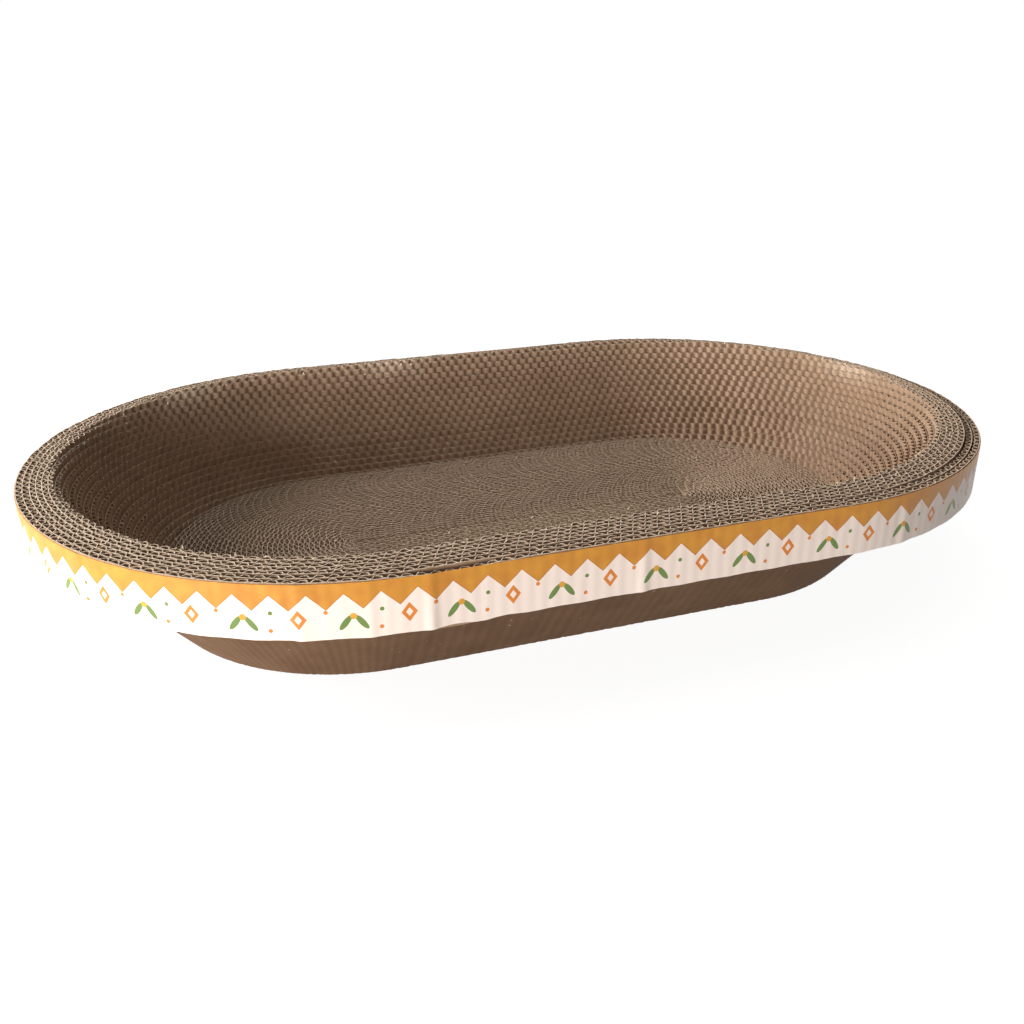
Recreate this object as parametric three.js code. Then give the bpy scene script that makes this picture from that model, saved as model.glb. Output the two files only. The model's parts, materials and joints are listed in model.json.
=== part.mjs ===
// Oval cradle cat scratcher: a bowl wound from corrugated cardboard strip,
// with a printed paper band round its rim and a tapered skirt underneath.
// Millimetres, +Z up, the origin on the ground under the middle of the bowl.
import * as THREE from 'three';

// Overall sizes
const LENGTH = 525; // along X, over the printed band
const WIDTH = 324; // along Y, over the printed band
const HEIGHT = 81; // from the ground to the top of the rim

// Corrugated strip: one paper liner with flutes glued to its inner face
const STRIP_HEIGHT = 25;
const STRIP_THICKNESS = 2.2;
const STRIP_SLACK = 0.57; // free space between one turn and the next

// Turns of strip, from the outside in
const HOOP_TURNS = 2;
const RIM_TURNS = 5;
const CORE_HALF_WIDTH = 43; // the floor is wound up to about this size of core

// Hollow of the bowl, pressed in a little off the middle
const RIM_WIDTH = 15.8; // width of the flat rim at the two ends
const WALL_WIDTH = 49.5; // from the rim to the floor, seen from above, at the rear and the two ends
const FRONT_WALL_WIDTH = 44; // the same at the middle of the front, where the wall is steeper
const HOLLOW_SHIFT = 8.3; // how far the hollow lies off the middle, towards the rear

// Printed band and the hoop that carries it
const BAND_THICKNESS = 0.5;
const BAND_CLEARANCE = 0.3; // between the band and the hoop
const HOOP_CLEARANCE = 0.25; // extra space between the hoop and the rim
const HOOP_SLIP = 2; // how far the hoop has slid down at the +X end
const HOOP_SLIP_START = 60; // X where the hoop begins to slide down

// Tapered skirt of corrugated board
const SKIRT_THICKNESS = 2.2;
const SKIRT_CLEARANCE = 0.8; // to the steps of the wall and to the rim above

const SEAM_GAP = 0.6; // between the two ends of the band, of the skirt and of joined strips
const ARC_STEPS = 12; // flat faces in each round end

// Worked-out sizes. An inset is a distance inwards from the outline of the band.
const endRadius = WIDTH / 2;
const straightHalf = (LENGTH - WIDTH) / 2;
const turnPitch = STRIP_THICKNESS + STRIP_SLACK;
const wallHeight = HEIGHT - STRIP_HEIGHT;
const hoopInset = BAND_THICKNESS + BAND_CLEARANCE - STRIP_SLACK / 2;
const rimInset = hoopInset + HOOP_TURNS * turnPitch + HOOP_CLEARANCE;
const wallInset = rimInset + RIM_TURNS * turnPitch;

// The turns of the wall slope all round. Those of the outer floor are level at the rear and
// slope at the front, and those of the inner floor are level all round.
const rearFloorEdge = RIM_WIDTH - HOLLOW_SHIFT + WALL_WIDTH;
const frontFloorEdge = RIM_WIDTH + HOLLOW_SHIFT + FRONT_WALL_WIDTH;
const wallTurns = Math.max(2, Math.floor((rearFloorEdge - wallInset) / turnPitch));
const upperWallTurns = Math.floor(wallTurns / 2);
const lowerWallTurns = wallTurns - upperWallTurns;
const lowerWallInset = wallInset + upperWallTurns * turnPitch;
const floorInset = wallInset + wallTurns * turnPitch;
const outerFloorTurns = Math.max(1, Math.ceil((frontFloorEdge - floorInset) / turnPitch));
const innerFloorInset = floorInset + outerFloorTurns * turnPitch;
const innerFloorTurns = Math.max(1, Math.floor((endRadius - innerFloorInset - CORE_HALF_WIDTH) / turnPitch));
const coreInset = innerFloorInset + innerFloorTurns * turnPitch + STRIP_SLACK / 2;

const kraft = new THREE.MeshStandardMaterial({ color: 0xb48a63, roughness: 0.9, metalness: 0 });
const kraftEdge = new THREE.MeshStandardMaterial({ color: 0xc7a17b, roughness: 0.92, metalness: 0 });
const kraftLiner = new THREE.MeshStandardMaterial({ color: 0xa67a52, roughness: 0.85, metalness: 0 });
const printedPaper = new THREE.MeshStandardMaterial({ color: 0xe9c98a, roughness: 0.45, metalness: 0 });

// A station is a place on the oval: the middle of its round end, the direction outwards,
// and the share of the way round at which it lies.
function station(x, angle, share = 0) {
  return { x, outX: Math.cos(angle), outY: Math.sin(angle), share };
}

// Stations once round the oval, from the left end of the rear side over the left end,
// the front side and the right end to the right end of the rear side.
function ovalStations() {
  const arc = Math.PI * endRadius;
  const around = 2 * arc + 4 * straightHalf;
  const stations = [];
  for (const [side, from, start] of [[-1, Math.PI / 2, 0], [1, -Math.PI / 2, arc + 2 * straightHalf]]) {
    for (let i = 0; i <= ARC_STEPS; i += 1) {
      const bend = i / ARC_STEPS;
      stations.push(station(side * straightHalf, from + Math.PI * bend, (start + arc * bend) / around));
    }
  }
  return stations;
}

// The left end of the rear side, where the turns of a winding begin and end.
function rearCorner(beside, share = 0) {
  return station(beside - straightHalf, Math.PI / 2, share);
}

// A place on the rear side near its middle.
function rearMiddle(x) {
  return station(x, Math.PI / 2);
}

// Width of the flat rim. The hollow lies towards the rear, so the rim is widest at the front.
function rimWidth(place) {
  return RIM_WIDTH - HOLLOW_SHIFT * place.outY;
}

// How far the wall drops for each millimetre inwards.
function wallSlope(place) {
  const front = Math.max(0, -place.outY);
  return wallHeight / (WALL_WIDTH + (FRONT_WALL_WIDTH - WALL_WIDTH) * front);
}

// Height of the upper edge of the strip: level on the rim, lower with each turn of the wall,
// and level again on the floor.
function topEdge(place, inset) {
  const down = wallSlope(place) * Math.max(0, inset - rimWidth(place));
  return HEIGHT - Math.min(down, wallHeight);
}

// How far the hoop and its band have slid down, at a distance inwards from the outline.
function hoopSlip(place, inset) {
  const x = place.x + (endRadius - inset) * place.outX;
  const share = Math.max(0, x - HOOP_SLIP_START) / (LENGTH / 2 - HOOP_SLIP_START);
  return HOOP_SLIP * share * share;
}

// One upright slice of a strip: its outer and inner edge at the bottom and at the top.
function slice(place, { outerTop, innerTop, outerBottom, innerBottom, top, bottom }) {
  const corner = (inset, z) => new THREE.Vector3(
    place.x + (endRadius - inset) * place.outX,
    (endRadius - inset) * place.outY,
    z,
  );
  return [
    corner(outerBottom, bottom),
    corner(innerBottom, bottom),
    corner(innerTop, top),
    corner(outerTop, top),
  ];
}

// Closed solid through a row of four-cornered slices.
function sweep(slices) {
  const corners = slices.flat();
  const index = [];
  const quad = (a, b, c, d) => index.push(a, b, c, a, c, d);
  for (let i = 0; i + 1 < slices.length; i += 1) {
    for (let side = 0; side < 4; side += 1) {
      const next = (side + 1) % 4;
      quad(4 * i + side, 4 * i + next, 4 * i + 4 + next, 4 * i + 4 + side);
    }
  }
  const last = 4 * (slices.length - 1);
  quad(3, 2, 1, 0);
  quad(last, last + 1, last + 2, last + 3);
  const geometry = new THREE.BufferGeometry().setFromPoints(corners);
  geometry.setIndex(index);
  geometry.computeVertexNormals();
  return geometry;
}

// Slices of a winding. The strip of a spiral moves inwards at a steady rate, and ends beside
// the start of the next one. The strip of a hoop keeps each turn in one oval and crosses to
// the next turn on the right half of the rear side.
function windingSlices({ inset, turns, hoop = false }) {
  const slices = [];
  const cut = (place, depth) => {
    const outer = inset + depth * turnPitch + STRIP_SLACK / 2;
    const inner = outer + STRIP_THICKNESS;
    const top = topEdge(place, outer) - (hoop ? hoopSlip(place, outer) : 0);
    slices.push(slice(place, {
      outerTop: outer, outerBottom: outer, innerTop: inner, innerBottom: inner,
      top, bottom: top - STRIP_HEIGHT,
    }));
  };
  for (let turn = 0; turn < turns; turn += 1) {
    if (hoop) cut(rearMiddle(0), turn);
    for (const place of ovalStations()) cut(place, hoop ? turn : turn + place.share);
  }
  if (!hoop) cut(rearCorner(SEAM_GAP), turns);
  return slices;
}

// Least gap of a winding to its own next turns, measured in plan on the middle of each slice
// and half way between slices.
function leastGap(slices) {
  const middles = slices.map((corners) => corners[0].clone().add(corners[1]).multiplyScalar(0.5));
  const points = [];
  middles.forEach((point, i) => {
    points.push(point);
    if (i + 1 < middles.length) points.push(point.clone().lerp(middles[i + 1], 0.5));
  });
  const halfTurn = 2 * (ARC_STEPS + 1);
  let least = Infinity;
  for (let i = 0; i < points.length; i += 1) {
    for (let j = i + halfTurn; j < points.length; j += 1) {
      const apart = Math.hypot(points[i].x - points[j].x, points[i].y - points[j].y);
      least = Math.min(least, apart - STRIP_THICKNESS);
    }
  }
  return least;
}

// Slices of a piece that goes once round the oval and closes at the middle of the rear side.
function wrapSlices(edges) {
  const ends = [rearMiddle(-SEAM_GAP / 2), rearMiddle(SEAM_GAP / 2)];
  return [ends[0], ...ovalStations(), ends[1]].map((place) => slice(place, edges(place)));
}

function bandEdges(place) {
  const top = HEIGHT - hoopSlip(place, 0);
  return {
    outerTop: 0, outerBottom: 0, innerTop: BAND_THICKNESS, innerBottom: BAND_THICKNESS,
    top, bottom: top - STRIP_HEIGHT,
  };
}

// The skirt hangs close under the hoop and follows the lower outer corners of the wall's turns
// down to the ground.
function skirtEdges(place) {
  const slope = wallSlope(place);
  const tilt = Math.atan(slope);
  const clear = SKIRT_CLEARANCE / Math.sin(tilt);
  const thick = SKIRT_THICKNESS / Math.sin(tilt);
  const top = wallHeight - hoopSlip(place, 0) - SKIRT_CLEARANCE;
  const innerAt = (z) => rimWidth(place) + (wallHeight - z) / slope - clear;
  return {
    innerTop: innerAt(top), innerBottom: innerAt(0),
    outerTop: innerAt(top) - thick, outerBottom: innerAt(0) - thick,
    top, bottom: 0,
  };
}

// Plain block for the innermost turns, standing on the ground. Its outline goes on with the
// spiral and has a step of one turn where the strip ends.
function coreGeometry() {
  const outline = [...ovalStations(), rearCorner(0, 1)].map((place) => {
    const radius = endRadius - coreInset - place.share * turnPitch;
    return new THREE.Vector2(place.x + radius * place.outX, radius * place.outY);
  });
  return new THREE.ExtrudeGeometry(new THREE.Shape(outline), { depth: STRIP_HEIGHT, bevelEnabled: false });
}

const part = new THREE.Group();

function add(name, geometry, material) {
  const mesh = new THREE.Mesh(geometry, material);
  mesh.name = name;
  part.add(mesh);
}

function addWinding(name, material, layout) {
  const slices = windingSlices(layout);
  if (layout.turns > 1) console.log(`${name}: least gap to itself ${leastGap(slices).toFixed(2)} mm`);
  add(name, sweep(slices), material);
}

add('printed_band', sweep(wrapSlices(bandEdges)), printedPaper);
addWinding('rim_hoop', kraftEdge, { inset: hoopInset, turns: HOOP_TURNS, hoop: true });
addWinding('rim_winding', kraftEdge, { inset: rimInset, turns: RIM_TURNS });
addWinding('wall_winding_upper', kraft, { inset: wallInset, turns: upperWallTurns });
addWinding('wall_winding_lower', kraft, { inset: lowerWallInset, turns: lowerWallTurns });
addWinding('floor_winding_outer', kraft, { inset: floorInset, turns: outerFloorTurns });
addWinding('floor_winding_inner', kraft, { inset: innerFloorInset, turns: innerFloorTurns });
add('core_winding', coreGeometry(), kraft);
add('outer_skirt', sweep(wrapSlices(skirtEdges)), kraftLiner);

export default part;
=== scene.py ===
"""Oval cat scratcher wound from corrugated board, laid out as an add-on.

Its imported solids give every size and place. Lengths are in metres, and MM turns a size in
millimetres into metres. Each turn starts at the left end of the rear side and runs over the left
end, the front and the right end. Turn 0 is the first of the rim, and the hoop has negative turns.
"""

import json
import math
from typing import NamedTuple

import bpy
import numpy as np
from bpy.props import FloatProperty, FloatVectorProperty, IntProperty, PointerProperty
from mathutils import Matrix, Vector


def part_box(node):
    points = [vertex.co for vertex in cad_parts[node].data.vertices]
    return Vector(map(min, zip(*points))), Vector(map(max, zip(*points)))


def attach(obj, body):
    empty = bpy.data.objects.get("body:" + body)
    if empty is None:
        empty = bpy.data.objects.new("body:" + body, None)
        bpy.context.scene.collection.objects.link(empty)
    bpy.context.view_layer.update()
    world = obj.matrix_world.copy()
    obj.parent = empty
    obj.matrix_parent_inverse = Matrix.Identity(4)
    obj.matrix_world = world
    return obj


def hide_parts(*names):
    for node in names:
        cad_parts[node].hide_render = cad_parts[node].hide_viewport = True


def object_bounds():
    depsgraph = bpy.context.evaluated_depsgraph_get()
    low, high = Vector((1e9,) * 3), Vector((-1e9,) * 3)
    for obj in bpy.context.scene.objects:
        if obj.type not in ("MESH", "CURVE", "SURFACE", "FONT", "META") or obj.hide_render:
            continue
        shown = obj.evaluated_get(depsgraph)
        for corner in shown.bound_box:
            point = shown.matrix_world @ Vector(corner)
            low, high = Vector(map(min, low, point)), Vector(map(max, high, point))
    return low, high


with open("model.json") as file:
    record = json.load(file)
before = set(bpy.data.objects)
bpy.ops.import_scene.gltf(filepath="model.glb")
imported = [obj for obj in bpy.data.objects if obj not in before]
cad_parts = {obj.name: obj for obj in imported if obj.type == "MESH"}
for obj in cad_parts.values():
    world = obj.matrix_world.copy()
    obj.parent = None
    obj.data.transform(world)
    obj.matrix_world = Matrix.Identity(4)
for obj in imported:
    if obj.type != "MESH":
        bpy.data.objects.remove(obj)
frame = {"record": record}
CAD_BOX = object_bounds()

bl_info = {
    "name": "Oval cardboard scratcher",
    "version": (1, 0, 0),
    "blender": (4, 5, 0),
    "location": "View3D > Sidebar > Scratcher",
    "description": "Winds an oval cat scratcher from corrugated board round its packed solids",
    "category": "Object",
}

MM = 0.001
BODY = "root"
SEED = 11
BAKE_MAP = "OFBake"
SLOTS = {row["node"]: row["material_slot"] for row in frame["record"]["subparts"]}

# Outline of the band and sizes of the strip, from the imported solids
LENGTH, WIDTH, HEIGHT = CAD_BOX[1] - CAD_BOX[0]
END_RADIUS = WIDTH / 2
STRAIGHT_HALF = (LENGTH - WIDTH) / 2
ARC = math.pi * END_RADIUS
AROUND = 2 * ARC + 4 * STRAIGHT_HALF
OVAL_KNOTS = np.cumsum((0.0, ARC, 2 * STRAIGHT_HALF, ARC, 2 * STRAIGHT_HALF))
STRIP_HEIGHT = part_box("core_winding")[1].z
PACKED_STRIP = 2.2 * MM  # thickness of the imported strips, a plain stand-in for the board
RIM_WIDTH = 15.8 * MM  # width of the flat rim at the two ends
WALL_WIDTH = 49.5 * MM  # from the rim to the floor, seen from above, at the rear and the two ends
FRONT_WALL_WIDTH = 44 * MM  # the same at the middle of the front
WALL_HEIGHT = HEIGHT - STRIP_HEIGHT
HOLLOW_SHIFT = 8.3 * MM  # how far the hollow lies off the middle, towards the rear
HOOP_SLIP_START = 60 * MM  # X from which the hoop has slid down towards the right end
JOINT_GAP = 0.3 * MM  # between the ends of two strips that follow each other

# Shares of the way round at which the sides of the oval begin
FRONT_START = ARC / AROUND
REAR_SHARE = 2 * STRAIGHT_HALF / AROUND

# How far the flutes move from one turn to the next, in flutes: pairs of a turn and a shift
REAR_SHIFTS = ((0, 0.32), (5, 0.41), (10, 0.475), (14, 0.52), (18, 0.56), (28, 1.0), (37, 1.35), (56, 2.0))
FRONT_SHIFTS = ((-2, -0.29), (5, -0.29), (8, -0.9), (19, -0.67), (28, -0.44), (37, -0.09), (56, 0.56))

# Marks of wear: a share of the way round the oval, and a reach or a size
SCUFFS = ((0.959, 0.012), (0.710, 0.016), (0.056, 0.014))
SCUFF_DEPTH, SCUFF_WEAR = 5 * MM, 0.45
CRUSHED_PLACE, CRUSHED_REACH, CRUSHED_DEPTH = 0.365, 0.013, 1.6 * MM  # outer turn of the hoop, at the front
BUCKLES = ((0.247, 0.6), (0.321, 0.8), (0.340, 0.5), (0.358, 1.0), (0.425, 0.8), (0.524, 0.6), (0.80, 0.6))
FRILL_PLACE, FRILL_REACH, FRILL_WAVES = 0.373, 0.012, 61  # waves in the lower edge of the band

# Paler front half of the floor, partly real fraying and partly painted light where the floor is more lit:
# place and reach along the length, softness of its edge, and wear and light
FRAY_PLACE, FRAY_REACH, FRAY_EDGE, FRAY_WEAR_AND_LIGHT = 20 * MM, 95 * MM, 5 * MM, 0.5

# Share of fresh, pale fibres along the cut edges, by the distance inwards from the rim: real fresh fibres on
# the scratched rim, a mid share on the floor, and a low share on the wall as painted shade, which keeps its
# edges as dark as its shaded faces
FRESH_AND_SHADE_EDGES = (0.0, 6 * MM, 40 * MM, 52 * MM)
FRESH_AND_SHADE_SHARES = (1.0, 0.05, 0.08, 0.5)

# How the winding and its paper vary
HOOP_DRIFT = 0.45  # how far the inner turn of the hoop leaves the outer one, in pitches
CREST_FLATNESS = (0.6, 1.8)  # of a flute in a packed turn, and in one that nothing presses
TURN_TONES, FLUTE_TONES = 0.06, 0.12  # spread of the tone from turn to turn, and along a turn
PAPER_GAP = 0.08 * MM  # between papers that lie on each other
SKIRT_RIPPLE = 0.05 * MM  # how far the flutes show through the skirt's liner

# Stage, in metres: the floor, and the place and size of each soft lamp
FLOOR_REACH = 6.0
FLOOR_GAP = 0.1 * MM  # between the floor and the underside that lies on it
FLOOR_GLOW = 0.92  # as the camera sees it
LAMPS = {
    "left": ((-1.35, 0.5, 0.6), (0.8, 0.7)),
    "top": ((-0.2, 0.0, 1.6), (1.0, 1.0)),
    "front": ((-1.05, -1.0, 0.2), (0.8, 0.3)),
    "low": ((-1.15, -0.65, 0.08), (0.5, 0.12)),
}


def linear(hex_colour):
    """Linear colour of an sRGB hex value."""
    parts = (int(hex_colour[i : i + 2], 16) / 255 for i in (1, 3, 5))
    return tuple(c / 12.92 if c <= 0.04045 else ((c + 0.055) / 1.055) ** 2.4 for c in parts)


def length_setting(name, description, millimetres):
    """A length that a user may change."""
    return FloatProperty(
        name=name, description=description, default=millimetres * MM, min=0.0, precision=5, unit="LENGTH"
    )


def colour_setting(name, description, hex_colour):
    """A colour that a user may change."""
    return FloatVectorProperty(
        name=name, description=description, default=linear(hex_colour), min=0.0, max=1.0, subtype="COLOR"
    )


def count_setting(name, description, count):
    """A number of like things that a user may change."""
    return IntProperty(name=name, description=description, default=count, min=1)


def share_setting(name, description, share):
    """A plain number that a user may change."""
    return FloatProperty(name=name, description=description, default=share)


def power_setting(name, description, watts):
    """The power of a lamp."""
    return FloatProperty(name=name, description=description, default=watts, min=0.0, unit="POWER")


class SCRATCHER_PG_board(bpy.types.PropertyGroup):
    """Single-face corrugated board: a fluted sheet glued to a flat liner."""

    flute_pitch: length_setting("Flute pitch", "Distance from one flute to the next", 6.0)
    thickness: length_setting("Board thickness", "Sheet and liner together, where nothing presses", 3.1)
    fluted_paper: length_setting("Fluted paper", "Thickness of the fluted sheet", 0.36)
    liner_paper: length_setting("Liner paper", "Thickness of the flat liner", 0.48)
    front_room: length_setting("Front room", "How far the loose turns of the rim spread along the front", 4.8)
    raggedness: length_setting("Raggedness", "Unevenness of the cut edges", 0.14)
    wander: length_setting("Wander", "Slow unevenness of the winding", 0.16)
    crest_bias: share_setting("Crest bias", "How much wider the inner crests are than the outer ones", 0.35)
    flute_steps: count_setting("Flute steps", "Straight steps that draw one flute", 8)


class SCRATCHER_PG_turns(bpy.types.PropertyGroup):
    """Turns of strip in each winding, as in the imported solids."""

    hoop: count_setting("Hoop turns", "Turns of the hoop under the band", 2)
    rim: count_setting("Rim turns", "Turns of the flat rim", 5)
    upper_wall: count_setting("Upper wall turns", "Turns of the upper half of the wall", 6)
    lower_wall: count_setting("Lower wall turns", "Turns of the lower half of the wall", 7)
    outer_floor: count_setting("Outer floor turns", "Turns at the foot of the wall", 5)
    inner_floor: count_setting("Inner floor turns", "Turns of the level floor outside the core", 17)


class SCRATCHER_PG_band(bpy.types.PropertyGroup):
    """Printed paper band round the rim."""

    paper: length_setting("Band paper", "Thickness of the coated paper", 0.35)
    rows: count_setting("Rows", "Rows of faces from the upper to the lower edge", 8)
    buckle_height: length_setting("Buckle height", "How far the largest buckle stands out", 0.9)
    buckle_width: length_setting("Buckle width", "Half width of one buckle", 3.2)
    ripple: length_setting("Ripple", "How far the flutes behind the paper show through", 0.05)
    edge_wave: length_setting("Edge wave", "Unevenness of the lower edge", 0.35)
    setback: length_setting("Setback", "How far the upper edge lies below the hoop's", 0.5)
    border: length_setting("Border depth", "Depth of the amber border at its narrowest", 4.2)
    point: length_setting("Point depth", "How far the points hang below the border", 7.0)
    points: count_setting("Points", "Points of the border round the band", 96)
    repeats: count_setting("Repeats", "Repeats of the printed motifs round the band", 32)


class SCRATCHER_PG_shreds(bpy.types.PropertyGroup):
    """Loose shreds of paper along the cut edges."""

    rim_count: count_setting("Rim shreds", "Shreds on the rim and its inner edge", 260)
    floor_count: count_setting("Floor shreds", "Shreds on the wall and on the floor", 420)
    longest: length_setting("Longest shred", "Length of the longest shred", 2.4)


class SCRATCHER_PG_colours(bpy.types.PropertyGroup):
    """Colours of the papers and of the print."""

    kraft: colour_setting("Kraft paper", "Faces of the corrugated strip", "#B4967D")
    kraft_shade: colour_setting("Kraft shade", "Darker fibres of the strip", "#8F735A")
    cut_edge: colour_setting("Cut edge", "Fresh fibres along the cut edges", "#F2DFC6")
    # The cut shade is painted shade, not soil: with the kraft shade it is the dark base of the cut edges,
    # which keeps the wall's edges as dark as its shaded faces
    cut_shade: colour_setting("Cut shade", "Soiled fibres along the cut edges", "#8F7158")
    # The skirt's liner colours are darkened as painted shade: the skirt faces down under the band's overhang
    liner: colour_setting("Skirt liner", "Smooth outer paper of the skirt", "#84664D")
    liner_shade: colour_setting("Skirt shade", "Darker fibres of the skirt", "#684C37")
    coated_paper: colour_setting("Coated paper", "Ground of the printed band", "#FCE8DA")
    amber: colour_setting("Amber", "Light part of the border", "#DE9F38")
    amber_deep: colour_setting("Deep amber", "Dark part of the border", "#BE7226")
    orange: colour_setting("Orange", "Lozenges and dots of the print", "#E08330")
    green: colour_setting("Green", "Leaves of the print", "#6B8440")
    floor: colour_setting("Floor", "Floor under the scratcher", "#6E6B68")


class SCRATCHER_PG_stage(bpy.types.PropertyGroup):
    """Camera and lamps."""

    azimuth: FloatProperty(
        name="Azimuth", description="Direction of the camera", default=math.radians(-20.47), subtype="ANGLE"
    )
    elevation: FloatProperty(
        name="Elevation", description="Camera above the horizon", default=math.radians(25.37), subtype="ANGLE"
    )
    distance: length_setting("Distance", "From the camera to the origin", 631.6)
    lens: FloatProperty(
        name="Lens", description="Focal length on a 36 mm frame", default=37.63, unit="CAMERA"
    )
    shift_x: share_setting("Shift across", "Shift of the frame across", -0.0135)
    shift_y: share_setting("Shift up", "Shift of the frame up", 0.0424)
    left_power: power_setting("Left power", "Lamp at the left", 33.0)
    top_power: power_setting("Top power", "Lamp overhead", 8.0)
    front_power: power_setting("Front power", "Lamp in front", 13.0)
    low_power: power_setting("Low power", "Lamp near the floor", 8.0)
    sky: share_setting("Sky", "Even light from all round", 0.15)


class SCRATCHER_PG_settings(bpy.types.PropertyGroup):
    """All settings of the scratcher."""

    board: PointerProperty(type=SCRATCHER_PG_board)
    turns: PointerProperty(type=SCRATCHER_PG_turns)
    band: PointerProperty(type=SCRATCHER_PG_band)
    shreds: PointerProperty(type=SCRATCHER_PG_shreds)
    colours: PointerProperty(type=SCRATCHER_PG_colours)
    stage: PointerProperty(type=SCRATCHER_PG_stage)


# Paths round the oval


def oval_place(along):
    """Middle of the bend and direction outwards at a distance along the outline of the band."""
    along = np.mod(along, AROUND)
    middle = np.interp(along, OVAL_KNOTS, np.array((-1, -1, 1, 1, -1)) * STRAIGHT_HALF)
    angle = np.interp(along, OVAL_KNOTS, np.array((0.5, 1.5, 1.5, 2.5, 2.5)) * math.pi)
    return middle, np.cos(angle), np.sin(angle)


def oval_point(along, inset, height, sideways=0.0):
    """Points at a distance inwards from the outline of the band, moved sideways along it."""
    middle, out_x, out_y = oval_place(along)
    radius = END_RADIUS - inset
    x = middle + radius * out_x - sideways * out_y
    y = radius * out_y + sideways * out_x
    return np.stack(np.broadcast_arrays(x, y, height), axis=-1)


def bump(share, centre, reach):
    """A smooth bump round a share of the way round the oval, 1 at its centre."""
    apart = np.mod(share - centre + 0.5, 1.0) - 0.5
    return np.exp(-((apart / reach) ** 2))


def slow_wave(turn, seed):
    """Slow unevenness from -1 to 1 that neighbouring turns nearly share."""
    random = np.random.default_rng(seed)
    total = np.zeros_like(turn)
    for cycles, size in ((2.0, 0.4), (3.0, 0.3), (5.0, 0.2), (9.0, 0.1)):
        drift = random.uniform(-0.03, 0.03)
        total += size * np.sin(2 * math.pi * ((cycles + drift) * turn + random.uniform()))
    return total


def outer_inset(node):
    """Distance inwards from the outline of the band to the outer face of a node's first turn."""
    return END_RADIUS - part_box(node)[1].y


def rim_width(out_y):
    """Width of the flat rim. The hollow lies towards the rear, so the rim is widest at the front."""
    return RIM_WIDTH - HOLLOW_SHIFT * out_y


def wall_slope(out_y):
    """How far the wall drops for each length inwards. It is steepest at the front."""
    return WALL_HEIGHT / (WALL_WIDTH + (FRONT_WALL_WIDTH - WALL_WIDTH) * np.maximum(-out_y, 0.0))


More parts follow.
